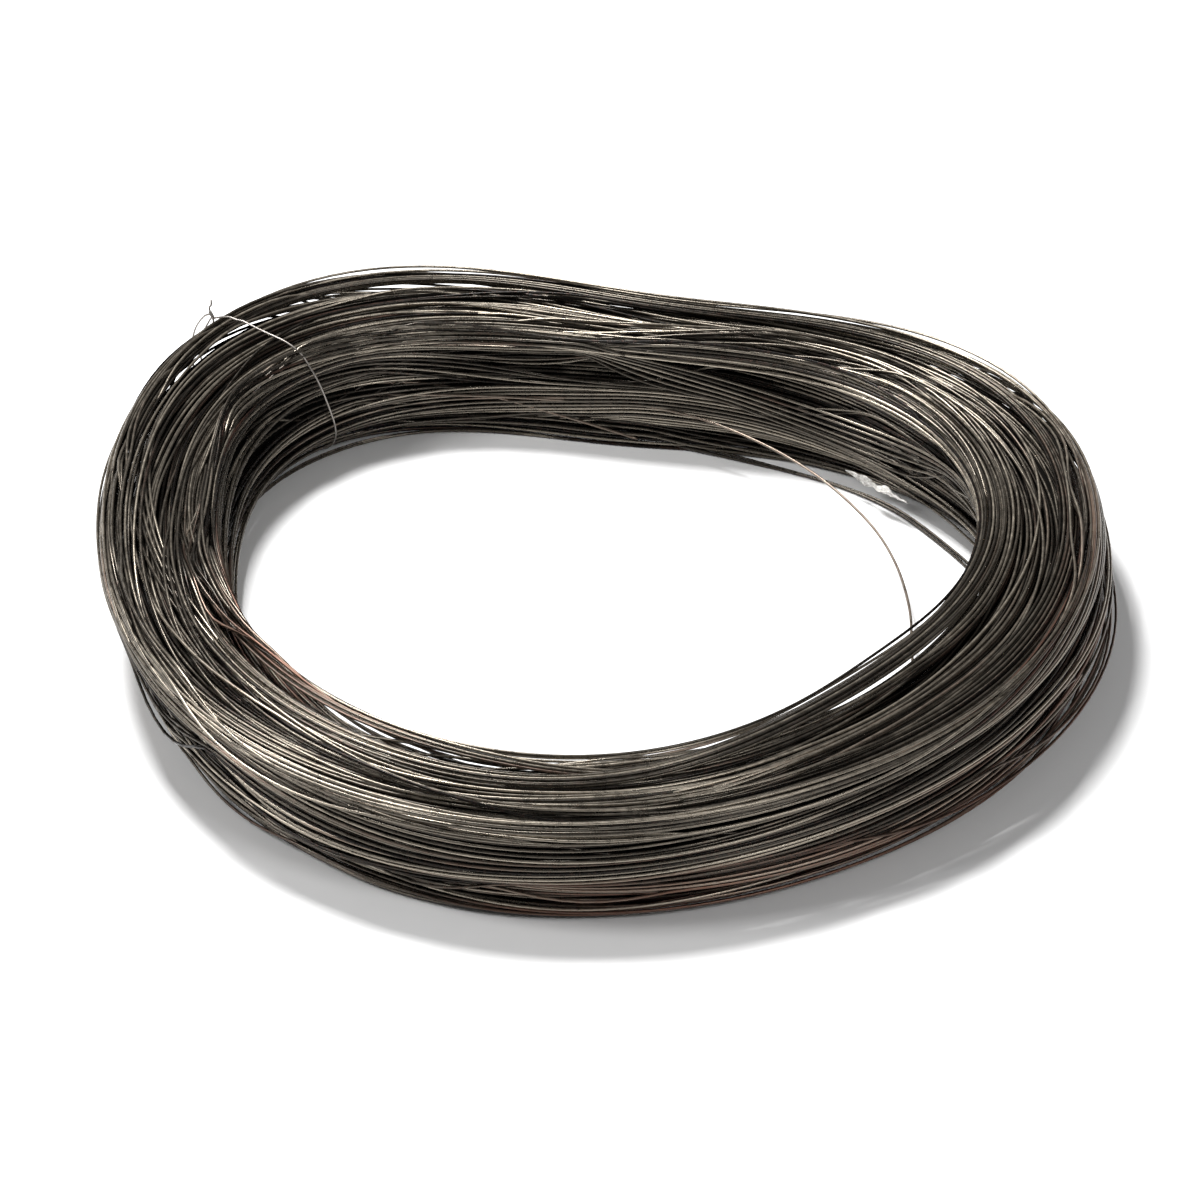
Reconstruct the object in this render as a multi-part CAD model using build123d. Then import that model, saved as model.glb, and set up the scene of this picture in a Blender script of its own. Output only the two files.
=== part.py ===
from build123d import *
import math
import os

# Coil of annealed steel wire lying flat, its axis upright on z = 0. Sizes are in millimetres.

# The wound bundle: a ribbed section swept round the bore
BORE_DIAMETER = 303.5
BUNDLE_WIDTH = 54.0
COIL_HEIGHT = 55.0
CORNER_WIDTH_SHARE = 0.24
CORNER_HEIGHT = 13.75

# How far the loose coil is out of round: reach and azimuth of an oval, a triangular and a square part
OVAL_REACH = 6.0
OVAL_AZIMUTH = -21.0
TRIANGLE_REACH = 10.5
TRIANGLE_AZIMUTH = 15.0
SQUARE_REACH = 4.0
SQUARE_AZIMUTH = 35.0
PLAN_STEPS = 32

# The uppermost turns lie a little to one side of the lowest ones
LEAN_X = -9.0
LEAN_Y = 1.0

# Ridges of grouped turns on the two ends and on the walls between them
END_RIDGES = 8
END_GROOVE_DEPTH = 1.6
WALL_RIDGES = 4
WALL_GROOVE_DEPTH = 2.0
REST_LAND_WIDTH = 2.4
REST_STAND = 0.3

# One loose turn that leaves the far inner wall, sags across the bore and ends under the near side
WIRE_DIAMETER = 1.2
WIRE_SIDES = 6
LOOSE_FAR_AZIMUTH = 88.0
LOOSE_FAR_LEVEL = 24.0
LOOSE_BORE_AZIMUTH = 29.0
LOOSE_BORE_LEVEL = 16.0
LOOSE_BORE_REACH = 37.0
LOOSE_NEAR_AZIMUTH = -46.0
LOOSE_NEAR_LEVEL = 5.0
LOOSE_END_SINK = 8.0

# Tie wire bound once round the bundle, with a slack loop and a twisted end outside
TIE_WIRE_DIAMETER = 0.9
TIE_AZIMUTH = 137.0
TIE_CLEARANCE = 0.25
TIE_FLOOR_CLEARANCE = 0.2
TIE_BEND_RADIUS = 6.0
TIE_SLACK_REACH = 7.0
TIE_SLACK_START = 22.0
TIE_SLACK_LEVEL = 45.0
TIE_KNOT_BACK = 3.0
TIE_KNOT_LIFT = 3.5
TIE_KNOT_DIAMETER = 2.0
TIE_KNOT_LENGTH = 5.0
TIE_TAIL_LENGTH = 5.0

# Strip of plastic tape lying along the foot of the inner wall
TAPE_START_AZIMUTH = 26.0
TAPE_END_AZIMUTH = 41.0
TAPE_LOW = 5.5
TAPE_HIGH = 10.5
TAPE_THICKNESS = 0.4
TAPE_CLEARANCE = 0.3

# Values that follow from the sizes above
PLAN_RADIUS = (BORE_DIAMETER + BUNDLE_WIDTH) / 2
HALF_WIDTH = BUNDLE_WIDTH / 2
CORNER_WIDTH = CORNER_WIDTH_SHARE * BUNDLE_WIDTH
CORNER_CUT = 1 - math.tan(math.pi / 8)
UP = Vector(0, 0, 1)


def plan_radius(azimuth):
    """Distance from the axis to the middle of the bundle along an azimuth in degrees."""
    oval = OVAL_REACH * math.cos(2 * math.radians(azimuth - OVAL_AZIMUTH))
    triangle = TRIANGLE_REACH * math.cos(3 * math.radians(azimuth - TRIANGLE_AZIMUTH))
    square = SQUARE_REACH * math.cos(4 * math.radians(azimuth - SQUARE_AZIMUTH))
    return PLAN_RADIUS + oval + triangle + square


def plan_point(azimuth, across, level):
    """Point at an azimuth, a distance out from the middle of the bundle and a level."""
    reach = plan_radius(azimuth) + across
    turn = math.radians(azimuth)
    return Vector(reach * math.cos(turn), reach * math.sin(turn), level)


def plan_curve():
    """Closed middle line of the bundle on the floor."""
    points = [plan_point(360 * step / PLAN_STEPS, 0, 0) for step in range(PLAN_STEPS)]
    return Wire([Spline(*points, periodic=True)])


def section_plane(origin, along):
    """Upright plane square to the middle line, x pointing outward and y up."""
    outward = along.cross(UP)
    return Plane(origin=origin, x_dir=outward, z_dir=outward.cross(UP))


def section_plane_at(azimuth):
    """Section plane of the bundle at an azimuth in degrees."""
    ahead = plan_point(azimuth + 1, 0, 0)
    behind = plan_point(azimuth - 1, 0, 0)
    return section_plane(plan_point(azimuth, 0, 0), ahead - behind)


def end_contour(share):
    """Point and outward normal at a share of the way over an end, from the outer wall to the bore."""
    corner_length = math.pi / 4 * (CORNER_WIDTH + CORNER_HEIGHT)
    total = 2 * corner_length + BUNDLE_WIDTH - 2 * CORNER_WIDTH
    distance = share * total
    side = 1 if distance < total / 2 else -1
    distance = min(distance, total - distance)
    if distance >= corner_length:
        return (side * (HALF_WIDTH - CORNER_WIDTH - distance + corner_length), CORNER_HEIGHT), (0.0, 1.0)
    turn = distance / corner_length * math.pi / 2
    across = HALF_WIDTH - CORNER_WIDTH + CORNER_WIDTH * math.cos(turn)
    return (side * across, CORNER_HEIGHT * math.sin(turn)), (side * math.cos(turn), math.sin(turn))


def end_points(rests):
    """Zigzag over one end; where it rests the crest nearest the middle stands proud of the others."""
    points = []
    middle_crest = 2 * (END_RIDGES // 2) + 1
    for step in range(2 * END_RIDGES + 1):
        (across, up), (normal_across, normal_up) = end_contour(step / (2 * END_RIDGES))
        depth = END_GROOVE_DEPTH if step % 2 == 0 else 0.0
        if rests and step == middle_crest:
            points.append((across + REST_LAND_WIDTH / 2, up + 2 * REST_STAND))
            points.append((across - REST_LAND_WIDTH / 2, up + 2 * REST_STAND))
        else:
            points.append((across - depth * normal_across, up - depth * normal_up))
    return points


def bundle_section():
    """Ribbed section of the bundle, its middle at x = 0 and its foot at y = 0."""
    over = [(across, COIL_HEIGHT - CORNER_HEIGHT + up) for across, up in end_points(False)]
    under = [(across, REST_STAND + CORNER_HEIGHT - up) for across, up in end_points(True)]
    rise = (COIL_HEIGHT - 2 * CORNER_HEIGHT) / (2 * WALL_RIDGES)
    outer_wall = []
    for step in range(1, 2 * WALL_RIDGES):
        depth = WALL_GROOVE_DEPTH if step % 2 == 0 else 0.0
        outer_wall.append((HALF_WIDTH - depth, CORNER_HEIGHT + step * rise))
    inner_wall = [(-across, up) for across, up in reversed(outer_wall)]
    return make_face(Polyline(*over, *inner_wall, *reversed(under), *outer_wall, close=True))


def lean(piece):
    """Shears a piece sideways with height, about the middle of the coil's height."""
    slope_x = LEAN_X / COIL_HEIGHT
    slope_y = LEAN_Y / COIL_HEIGHT
    shear = Matrix([
        [1, 0, slope_x, -LEAN_X / 2],
        [0, 1, slope_y, -LEAN_Y / 2],
        [0, 0, 1, 0],
    ])
    return piece.transform_geometry(shear)


def wound_bundle():
    """The whole bundle as one solid with its bore, cut flat where its resting crest meets the floor."""
    curve = plan_curve()
    section = section_plane(curve @ 0, curve % 0) * bundle_section()
    return split(lean(sweep(section, path=curve)), bisect_by=Plane.XY, keep=Keep.TOP)


def tie_slot():
    """Room across the underside for the tie wire, so that the coil rests on its own turns."""
    high = TIE_FLOOR_CLEARANCE + TIE_WIRE_DIAMETER + TIE_CLEARANCE
    wide = TIE_WIRE_DIAMETER + 2 * TIE_CLEARANCE
    return section_plane_at(TIE_AZIMUTH) * Box(2 * BUNDLE_WIDTH, 2 * high, wide)


def loose_turn(bundle):
    """The length of a round of wire that shows in the bore, its two ends meeting the bundle."""
    end_across = LOOSE_END_SINK - HALF_WIDTH
    far = plan_point(LOOSE_FAR_AZIMUTH, end_across, LOOSE_FAR_LEVEL)
    free = plan_point(LOOSE_BORE_AZIMUTH, -HALF_WIDTH - LOOSE_BORE_REACH, LOOSE_BORE_LEVEL)
    near = plan_point(LOOSE_NEAR_AZIMUTH, end_across, LOOSE_NEAR_LEVEL)
    path = ThreePointArc(far, free, near)
    start = Plane(origin=path @ 0, z_dir=path % 0)
    strand = sweep(start * RegularPolygon(WIRE_DIAMETER / 2, WIRE_SIDES), path=path)
    return (strand - bundle).solids().sort_by(SortBy.VOLUME)[-1]


def tie_corners(plane):
    """Corners of the tie wire in its section plane; each follows the lean of the bundle."""
    away = TIE_CLEARANCE + TIE_WIRE_DIAMETER / 2
    side = HALF_WIDTH + away
    low = TIE_FLOOR_CLEARANCE + TIE_WIRE_DIAMETER / 2
    high = COIL_HEIGHT + away
    rise = CORNER_CUT * CORNER_HEIGHT
    top_side = side - CORNER_CUT * CORNER_WIDTH
    foot_side = top_side + (low + away) * CORNER_WIDTH / CORNER_HEIGHT
    corners = [
        (-foot_side, low),
        (foot_side, low),
        (side, rise - away),
        (side, TIE_SLACK_START),
        (side + TIE_SLACK_REACH, TIE_SLACK_LEVEL),
        (side - TIE_KNOT_BACK, high + TIE_KNOT_LIFT),
        (-top_side, high),
        (-side, high - rise),
        (-side, rise - away),
    ]
    lean_across = Vector(LEAN_X, LEAN_Y, 0).dot(plane.x_dir)
    return [(across + lean_across * (up / COIL_HEIGHT - 0.5), up) for across, up in corners]


def tie_knot(corner, below, beside):
    """Twisted length and thin tail that point away from the bend of the slack corner."""
    at = Vector(*corner)
    to_below = (Vector(*below) - at).normalized()
    to_beside = (Vector(*beside) - at).normalized()
    inward = (to_below + to_beside).normalized()
    half_angle = to_below.get_angle(to_beside) / 2
    bend = TIE_BEND_RADIUS / math.sin(math.radians(half_angle)) - TIE_BEND_RADIUS
    foot = Plane(origin=at + inward * bend, z_dir=inward * -1)
    twist = Pos(0, 0, TIE_KNOT_LENGTH / 2) * Cylinder(TIE_KNOT_DIAMETER / 2, TIE_KNOT_LENGTH)
    tail_reach = TIE_KNOT_LENGTH + TIE_TAIL_LENGTH
    tail = Pos(0, 0, tail_reach / 2) * Cylinder(TIE_WIRE_DIAMETER / 2, tail_reach)
    return foot * (twist + tail)


def tie_wire():
    """Closed loop round the bundle whose slack corner ends in a twisted knot with a tail."""
    plane = section_plane_at(TIE_AZIMUTH)
    corners = tie_corners(plane)
    path = FilletPolyline(*corners, radius=TIE_BEND_RADIUS, close=True)
    start = Plane(origin=path @ 0, z_dir=path % 0)
    loop = sweep(start * RegularPolygon(TIE_WIRE_DIAMETER / 2, WIRE_SIDES), path=path)
    slack, knot, over = corners[4:7]
    return plane * (loop + tie_knot(knot, slack, over))


def tape_strip():
    """Thin strip along the foot of the inner wall, following the slope of its rounded foot."""
    points = []
    for away in (TAPE_CLEARANCE, TAPE_CLEARANCE + TAPE_THICKNESS):
        side = []
        for level in (TAPE_LOW, (TAPE_LOW + TAPE_HIGH) / 2, TAPE_HIGH):
            turn = math.asin(1 - level / CORNER_HEIGHT)
            across = -(HALF_WIDTH - CORNER_WIDTH) - (CORNER_WIDTH + away) * math.cos(turn)
            side.append((across, level - away * math.sin(turn)))
        points += side if not points else side[::-1]
    middle = (TAPE_START_AZIMUTH + TAPE_END_AZIMUTH) / 2
    azimuths = (TAPE_START_AZIMUTH, middle, TAPE_END_AZIMUTH)
    path = Spline(*[plan_point(azimuth, 0, 0) for azimuth in azimuths])
    section = section_plane(path @ 0, path % 0) * make_face(Polyline(points, close=True))
    return lean(sweep(section, path=path))


bundle = wound_bundle()
pieces = {
    "wire_coil": bundle - tie_slot(),
    "loose_turn": loose_turn(bundle),
    "tie_wire": tie_wire(),
    "tape_strip": tape_strip(),
}
middle = bundle.bounding_box().center()
os.makedirs("parts", exist_ok=True)
for node, piece in pieces.items():
    export_step(Pos(-middle.X, -middle.Y, 0) * piece, f"parts/{node}.step")
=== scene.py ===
import math

import bpy
import numpy as np
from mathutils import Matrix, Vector


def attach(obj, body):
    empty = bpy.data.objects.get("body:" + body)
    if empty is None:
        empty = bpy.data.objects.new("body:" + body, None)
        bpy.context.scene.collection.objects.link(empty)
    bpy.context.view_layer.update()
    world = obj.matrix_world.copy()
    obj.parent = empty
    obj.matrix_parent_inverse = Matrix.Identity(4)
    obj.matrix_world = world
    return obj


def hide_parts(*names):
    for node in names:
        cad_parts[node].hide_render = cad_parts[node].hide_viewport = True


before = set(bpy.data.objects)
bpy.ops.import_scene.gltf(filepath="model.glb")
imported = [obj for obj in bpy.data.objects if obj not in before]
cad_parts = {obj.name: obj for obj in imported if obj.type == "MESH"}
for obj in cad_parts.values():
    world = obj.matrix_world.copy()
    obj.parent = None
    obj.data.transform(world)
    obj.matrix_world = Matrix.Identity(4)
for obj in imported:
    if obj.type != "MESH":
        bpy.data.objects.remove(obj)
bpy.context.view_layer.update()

SEED = 41
MM = 0.001
TURN = 2 * math.pi

# The winding's axis in the frame, in millimetres
POLE = (-9.7, 6.45)

# Wires and bundle, in millimetres
WIRE_RADIUS = 0.62
TIE_RADIUS = 0.45
COIL_HEIGHT = 55.0
CORNER_WIDTH = 13.5
CORNER_HEIGHT = 14.0
INNER_FOOT_HEIGHT = 6.0
MEAN_RADIUS = 180.0
FLOOR_GAP = 0.05

# Plan of the loose coil: mean radius, then the cosine and sine part of each lobe count
OUTER_PLAN = (205.5, (3.7, -2.9), (4.8, -5.1), (8.3, 7.3), (-4.2, 3.2), (-1.4, -1.6))
INNER_PLAN = (151.8, (1.7, -3.1), (4.2, -2.9), (6.3, 7.9), (-2.0, 1.8), (0.2, -1.4))

# How much taller the bundle is at its tallest azimuth, and how far its top is shifted against its foot
EXTRA_HEIGHT = 6.0
TALLEST_AZIMUTH = 105
LEAN_X = -9.0
LEAN_Y = 1.0

# Where the walls leave the plan: reach in millimetres, azimuth and half width in degrees
FRONT_BRIM = (4.5, -90, 48)
STRAND_BULGE = (8.0, 33, 20)
STRAND_HOLLOW = (3.0, 12, 8)
LEFT_OVERHANG = (2.6, 178, 30)
LEFT_FOOT = (3.0, 218, 20)
RIGHT_BELLY = (3.2, -8, 20)

# Points and facets of a turn, and how often its course, its bridges and its furrows are smoothed
STATIONS = 160
SIDES = 5
PATH_PASSES = 12
BRIDGE_PASSES = 10
SQUEEZE_PASSES = 3
FILL_PASSES = 24
FOLD_PASSES = 24

# Heights in millimetres at which the winding changes, and the most turns that it may take
FLOOR_LAYER_LEVEL = 4.5
WALL_TOP_LEVEL = 46.0
MIXED_LEVEL = 42.0
SLANTED_LEVEL = 44.0
SINGLES_LEVEL = 45
TOP_LAYER_LEVEL = 48.5
MOST_TURNS = 500

# Furrows between groups of turns: how many, and the lowest and the pitch on a wall and over the top
WALL_FURROWS = 4
WALL_FURROW_START = 7.5
WALL_FURROW_PITCH = 10.5
TOP_FURROWS = 5
TOP_FURROW_START = -18
TOP_FURROW_PITCH = 8.5


def lobed(plan, phi):
    """Radius of a lobed ring at azimuth phi."""
    radius = np.full_like(phi, plan[0])
    for count, (along, beside) in enumerate(plan[1:], start=1):
        radius = radius + along * np.cos(count * phi) + beside * np.sin(count * phi)
    return radius


def middle_radius(phi):
    """Radius of the line halfway between the two walls."""
    return (lobed(OUTER_PLAN, phi) + lobed(INNER_PLAN, phi)) / 2


def half_width(phi):
    """Half the distance between the two walls."""
    return (lobed(OUTER_PLAN, phi) - lobed(INNER_PLAN, phi)) / 2


def height_factor(phi):
    """The bundle is a little taller on the far left than on the near right."""
    return 1.0 + EXTRA_HEIGHT / COIL_HEIGHT * np.cos(phi - math.radians(TALLEST_AZIMUTH))


def drift(level, phi):
    """The lays step sideways from the lowest to the highest."""
    share = level / COIL_HEIGHT - 0.5
    return LEAN_X * share * np.cos(phi) + LEAN_Y * share * np.sin(phi)


def near_azimuth(phi, degrees, width, power=2):
    """Smooth bump round an azimuth, widths in degrees; a higher power gives a flatter top."""
    away = (phi - math.radians(degrees) + math.pi) % TURN - math.pi
    return np.exp(-(away / math.radians(width)) ** power)


def swell(phi, form):
    """Bump of a wall, from its reach, azimuth and half width."""
    reach, degrees, width = form
    return reach * near_azimuth(phi, degrees, width)


def rise(level, start, span):
    """Share from 0 at a height to 1 a span above it."""
    return np.clip((level - start) / span, 0, 1)


def inset(level, foot=1.0):
    """How far the rounded corners stand in from the walls; foot makes the lower one narrower."""
    near = np.minimum(level / CORNER_HEIGHT, (COIL_HEIGHT - level) / CORNER_HEIGHT)
    width = np.where(level < COIL_HEIGHT / 2, CORNER_WIDTH * foot, CORNER_WIDTH)
    return width * (1.0 - np.sqrt(1.0 - np.clip(1.0 - near, 0, 1) ** 2))


def inner_foot(phi):
    """The inner wall goes almost straight down to the floor on the far side."""
    return 1.0 - 0.8 * near_azimuth(phi, 75, 42, 4)


def inner_offset(level, phi):
    """The inner wall bulges over the floor strands, stands back at their right end, has a brim in front."""
    brim = swell(phi, FRONT_BRIM) * rise(level, 22.0, 20.0)
    bulge = swell(phi, STRAND_BULGE) * rise(level, 0.5, 4.0) * np.clip((40.0 - level) / 20.0, 0, 1)
    hollow = swell(phi, STRAND_HOLLOW) * np.clip(1.0 - level / 34.0, 0, 1)
    return hollow - bulge - brim


def outer_offset(level, phi):
    """The outer wall leans out at the left, stands back at the front left foot, bulges low at the right."""
    left = swell(phi, LEFT_OVERHANG) * rise(level, 22.0, 16.0)
    foot = swell(phi, LEFT_FOOT) * np.clip(1.0 - level / 26.0, 0, 1)
    right = swell(phi, RIGHT_BELLY) * np.clip(1.0 - np.abs(level - 22.0) / 22.0, 0, 1)
    return left - foot + right


def smooth_noise(rng, phi, amount, lowest=2, highest=9):
    """Periodic wander of a turn, as a few random waves."""
    total = np.zeros_like(phi)
    for count in range(lowest, highest + 1):
        total += rng.normal() / count * np.cos(count * phi + rng.uniform(0, TURN))
    return amount * total


def spread(z):
    """One pass of a soft periodic filter along a turn."""
    return 0.25 * np.roll(z, 1) + 0.5 * z + 0.25 * np.roll(z, -1)


class Bundle:
    """Lays turn on turn into a height field, so that each rests on those below it."""

    # Cell, half width and contact window of the field across the bundle
    STEP = 0.3
    REACH = 46.0
    WINDOW = 4

    # How far below the top the outline is taken for a zone's level, a course and the rounded top
    LEVEL_MARGIN = 9.0
    COURSE_MARGIN = 5.0
    TOP_MARGIN = 6.0

    # Strips of the field in which the level of a wall and of the middle is read
    WALL_STRIP = 7
    WALL_GAP = 0.5
    MIDDLE_GAP = 4

    # The hidden middle is kept filled this far from the walls and this far below their level
    MIDDLE_INSET = 9.5
    MIDDLE_DROP = 1.0

    def __init__(self, rng, hump):
        self.rng = rng
        self.phi = np.arange(STATIONS) * TURN / STATIONS
        self.half = half_width(self.phi)
        self.across = np.arange(-self.REACH, self.REACH, self.STEP)
        self.rows = np.arange(STATIONS)[:, None]
        outside = self.across[None, :] > 0
        corner = np.where(outside, CORNER_WIDTH, CORNER_WIDTH * inner_foot(self.phi)[:, None])
        beyond = np.abs(self.across)[None, :] - (self.half[:, None] - corner)
        share = np.clip(beyond / corner, 0, 1)
        self.top = CORNER_HEIGHT * (1 - np.sqrt(1 - share ** 2))
        self.top = np.minimum(self.top, np.where(outside, CORNER_HEIGHT, INNER_FOOT_HEIGHT))
        self.top = np.maximum(self.top, hump(self.phi[:, None], self.across[None, :]))
        self.turns = []
        self.level = 0.0
        self.family = 0

    def limits(self, z):
        """Least and greatest place across the bundle for a wire whose centre is at height z."""
        z = np.broadcast_to(z, self.phi.shape)
        shift = drift(z, self.phi)
        low = inset(z, inner_foot(self.phi)) + WIRE_RADIUS - self.half + inner_offset(z, self.phi)
        return shift + low, shift + self.half - inset(z) - WIRE_RADIUS + outer_offset(z, self.phi)

    def corner_share(self, u):
        """How far into the rounded top corner a place lies, 0 to 1; a table has a row for each station."""
        beyond = np.abs(u.T - drift(COIL_HEIGHT - self.TOP_MARGIN, self.phi)) - (self.half - CORNER_WIDTH)
        return np.clip(beyond / CORNER_WIDTH, 0, 1).T

    def ceiling(self, u):
        """Height of the rounded outline over a place across the bundle."""
        return COIL_HEIGHT - CORNER_HEIGHT * (1 - np.sqrt(1 - self.corner_share(u) ** 2))

    def window(self, u, contact):
        """Cells of the field under a wire, their distance from it and how high its underside curves there."""
        first = np.rint((u + self.REACH) / self.STEP).astype(int)
        cells = np.arange(-self.WINDOW, self.WINDOW + 1)
        index = np.clip(first[:, None] + cells[None, :], 0, len(self.across) - 1)
        offset = self.across[index] - u[:, None]
        return index, offset, np.sqrt(np.clip(contact ** 2 - offset ** 2, 0, None))

    def settle(self, u, contact=WIRE_RADIUS):
        """Height of a stiff wire over what lies below: it bridges the hollows."""
        index, offset, bulge = self.window(u, contact)
        reach = np.abs(offset) <= contact
        under = np.where(reach, self.top[self.rows, index] + bulge, 0.0).max(1)
        z = under.copy()
        for _ in range(BRIDGE_PASSES):
            z = np.maximum(under, spread(spread(z)))
        return spread(z)

    def lay(self, u, contact, over=3.5):
        """Settles one turn, keeps it inside the rounded outline and adds it to the field."""
        for _ in range(SQUEEZE_PASSES):
            z = self.settle(u, contact)
            low, high = self.limits(z)
            u = spread(spread(np.clip(u, low, high)))
        z = self.settle(u, contact)
        if z.max() > COIL_HEIGHT + 0.5 or (z - self.ceiling(u)).max() > over:
            return 0
        index, offset, bulge = self.window(u, contact)
        fresh = np.where(np.abs(offset) <= contact, z[:, None] + bulge, -1.0)
        self.top[self.rows, index] = np.maximum(self.top[self.rows, index], fresh)
        self.turns.append((u, z, self.family))
        return 1

    def level_of(self, zone):
        """Mean height of the field along one wall, or over the whole width."""
        low, high = self.limits(min(self.level, COIL_HEIGHT - self.LEVEL_MARGIN))
        low, high = low[:, None], high[:, None]
        a = self.across[None, :]
        if zone == "outer":
            mask = (a > high - self.WALL_STRIP) & (a < high - self.WALL_GAP)
        elif zone == "inner":
            mask = (a < low + self.WALL_STRIP) & (a > low + self.WALL_GAP)
        else:
            mask = (a > low + self.MIDDLE_GAP) & (a < high - self.MIDDLE_GAP)
        return self.top[mask].mean()

    def path(self, zone, shape, aside, wander):
        """Course of one turn across the bundle, for a family's shape and its place in the family."""
        middle, swing, toward, pinch, pinch_toward = shape
        low, high = self.limits(min(self.level, COIL_HEIGHT - self.COURSE_MARGIN))
        wave = swing * np.cos(self.phi - toward) + pinch * np.cos(2 * self.phi - pinch_toward)
        if zone == "outer":
            u = high - middle - aside + wave
        elif zone == "inner":
            u = low + middle + aside + wave
        else:
            u = (low + high) / 2 + middle + aside + wave
        u = np.clip(u + smooth_noise(self.rng, self.phi, wander), low, high)
        for _ in range(PATH_PASSES):
            u = spread(u)
        return u

    def wall_shape(self):
        """A family along a wall: most stand at it, some a little behind."""
        rng = self.rng
        proud = rng.uniform() < 0.62
        middle = rng.uniform(0.0, 1.2) if proud else rng.uniform(3.0, 8.0)
        swing = rng.uniform(0.5, 2.5) if rng.uniform() < 0.6 else rng.uniform(3.0, 7.0)
        return middle, swing, rng.uniform(0, TURN), rng.uniform(0, 1.6), rng.uniform(0, TURN)

    def full_shape(self):
        """Rings pushed to one side: the topmost towards the far left, those below them either way."""
        rng = self.rng
        if self.level > TOP_LAYER_LEVEL:
            toward, swing = math.radians(142) + rng.normal() * 0.18, rng.uniform(18, 31)
            middle = rng.uniform(-9, 7)
        elif self.level > SLANTED_LEVEL:
            toward = math.radians(-35 if rng.uniform() < 0.5 else 145) + rng.normal() * 0.4
            swing, middle = rng.uniform(10, 20), rng.uniform(-8, 8)
        elif self.level > MIXED_LEVEL:
            toward, swing = rng.uniform(0, TURN), rng.uniform(6, 17)
            middle = rng.uniform(-10, 10)
        else:
            toward, swing = rng.uniform(0, TURN), rng.uniform(2, 12)
            middle = rng.uniform(-20, 20)
        return middle, swing, toward, rng.uniform(0, 5), rng.uniform(0, TURN)

    def best_shape(self, zones, choices):
        """The family, of some tried, under which most room is left up to the outline."""
        best = None
        for _ in range(choices):
            for zone in zones:
                shape = self.full_shape() if zone == "full" else self.wall_shape()
                u = self.path(zone, shape, 0.0, 0.0)
                room = np.clip(self.ceiling(u) - self.settle(u), -1.0, 12.0).mean()
                if best is None or room > best[0]:
                    best = (room, zone, shape)
        return best

    def add_family(self, zones, choices):
        """Lays some turns side by side where the bundle is low; gives the room there and how many fitted."""
        rng = self.rng
        room, zone, shape = self.best_shape(zones, choices)
        way = rng.choice((-1.0, 1.0))
        aside = 0.0
        laid = 0
        if zone == "full":
            for _ in range(int(rng.integers(3, 10))):
                wander = rng.uniform(0.3, 1.1) if self.level > 40 else 0.4
                laid += self.lay(self.path(zone, shape, aside, wander), rng.uniform(0.66, 0.95))
                aside += way * rng.uniform(1.4, 2.5)
        else:
            for _ in range(int(rng.integers(4, 10))):
                offset = rng.normal() * 1.0
                course = self.path(zone, shape, offset, rng.uniform(0.2, 0.7))
                laid += self.lay(course, rng.uniform(0.68, 0.98))
        self.family += 1
        return room, laid

    def add_single(self):
        """One turn that crosses the others on its own."""
        rng = self.rng
        middle, swing, toward = rng.uniform(-8, 8), rng.uniform(8, 20), rng.uniform(0, TURN)
        shape = (middle, swing, toward, rng.uniform(0, 6), rng.uniform(0, TURN))
        self.lay(self.path("full", shape, 0.0, 1.0), WIRE_RADIUS)
        self.family += 1

    def lowest_course(self, room, start, column):
        """Cells of a closed course that goes from cell to cell where most room is left."""
        steps = np.arange(-2, 3)
        course = np.zeros(STATIONS)
        for step in range(STATIONS):
            row = room[(start + step) % STATIONS]
            near = np.clip(column + steps, 0, row.size - 1)
            column = int(near[np.argmax(row[near] - 0.05 * np.abs(steps))])
            course[step] = column
        return course + (course[0] - course[-1]) * np.linspace(0, 1, STATIONS) ** 2

    def fill(self, most):
        """Turns that follow the lowest places left under the rounded outline."""
        rng = self.rng
        a = self.across[None, :]
        share = self.corner_share(a)
        outline = self.ceiling(a)
        idle = 0
        while idle < 40 and len(self.turns) < most:
            room = np.where(share < 0.95, outline - self.top, -20.0)
            room = sum(np.roll(room, step, 1) for step in (-3, -1, 1, 3)) / 4
            start = int(rng.integers(STATIONS))
            column = int(room[start].argmax())
            if room[start, column] < 2.0:
                idle += 1
                continue
            u = np.roll(self.lowest_course(room, start, column) * self.STEP - self.REACH, start)
            for _ in range(FILL_PASSES):
                u = spread(u)
            done = self.lay(u + smooth_noise(rng, self.phi, 0.3), rng.uniform(0.64, 0.9), 4.5)
            idle = 0 if done else idle + 1
            self.family += 1

    def wind_walls(self):
        """Both walls, family by family on the lower one, while the hidden middle is raised with them."""
        idle = 0
        while self.level < WALL_TOP_LEVEL and idle < 6:
            outer, inner = self.level_of("outer"), self.level_of("inner")
            self.level = min(outer, inner)
            _, laid = self.add_family(("outer",) if outer < inner else ("inner",), 4)
            idle = 0 if laid else idle + 1
            low, high = self.limits(self.level)
            low, high = low[:, None], high[:, None]
            a = self.across[None, :]
            inside = (a > low + self.MIDDLE_INSET) & (a < high - self.MIDDLE_INSET)
            self.top[inside] = np.maximum(self.top[inside], self.level - self.MIDDLE_DROP)

    def wind_top(self, most):
        """Families over the whole width until no room is left, with some single turns across them."""
        idle = 0
        while idle < 10 and len(self.turns) < most:
            below = self.level < TOP_LAYER_LEVEL
            zones = ("full", "full", "outer", "inner") if below else ("full", "outer", "inner")
            room, laid = self.add_family(zones, 6)
            idle = idle + 1 if room < 1.2 or not laid else 0
            if self.level > SINGLES_LEVEL and self.rng.uniform() < 0.3:
                self.add_single()
            self.level = max(self.level, self.level_of("full"))

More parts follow.
